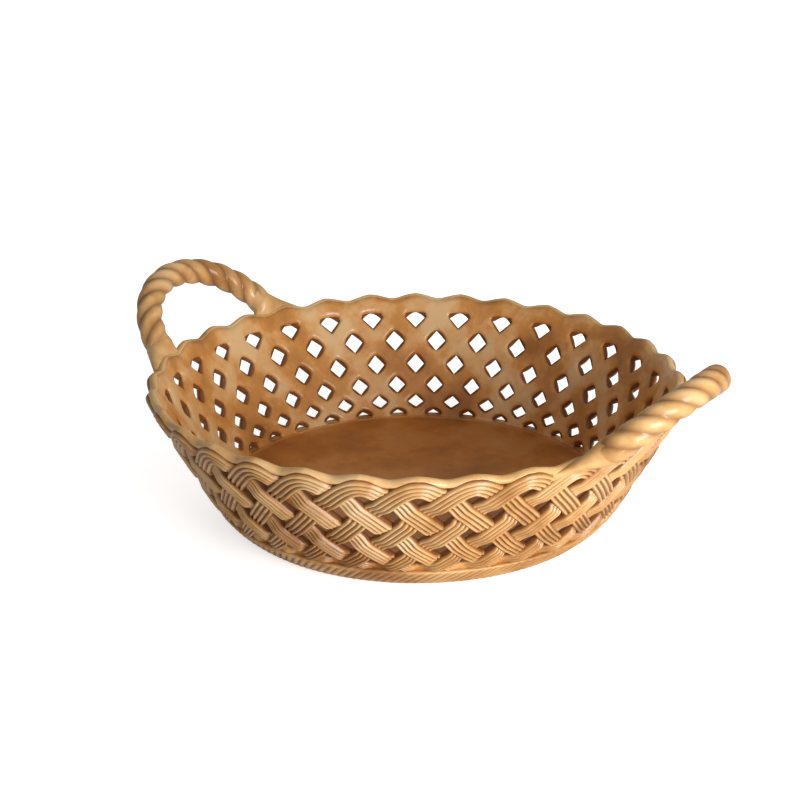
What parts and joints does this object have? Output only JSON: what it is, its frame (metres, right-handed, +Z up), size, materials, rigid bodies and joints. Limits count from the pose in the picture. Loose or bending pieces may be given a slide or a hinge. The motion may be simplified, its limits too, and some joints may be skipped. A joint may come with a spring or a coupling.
{
  "type": "reticulated porcelain basket",
  "caption": "Round pierced porcelain basket with a woven strapwork outside, a scalloped rim, a rope moulded foot and twisted rope handles at both sides.",
  "frame": {"origin": "middle of the foot, on the surface that the basket stands on", "axes": "+Z up, +X through the middle of the right handle"},
  "size_m": [0.3008, 0.25, 0.0956],
  "materials": {
    "porcelain": "glossy cream glaze"
  },
  "bodies": {
    "root": {"floor_plate": "porcelain", "foot_ring": "porcelain", "pierced_wall": "porcelain", "woven_strands": "porcelain", "left_handle_rolls": "porcelain", "left_handle_ends": "porcelain", "right_handle_rolls": "porcelain", "right_handle_ends": "porcelain"}
  },
  "joints": []
}
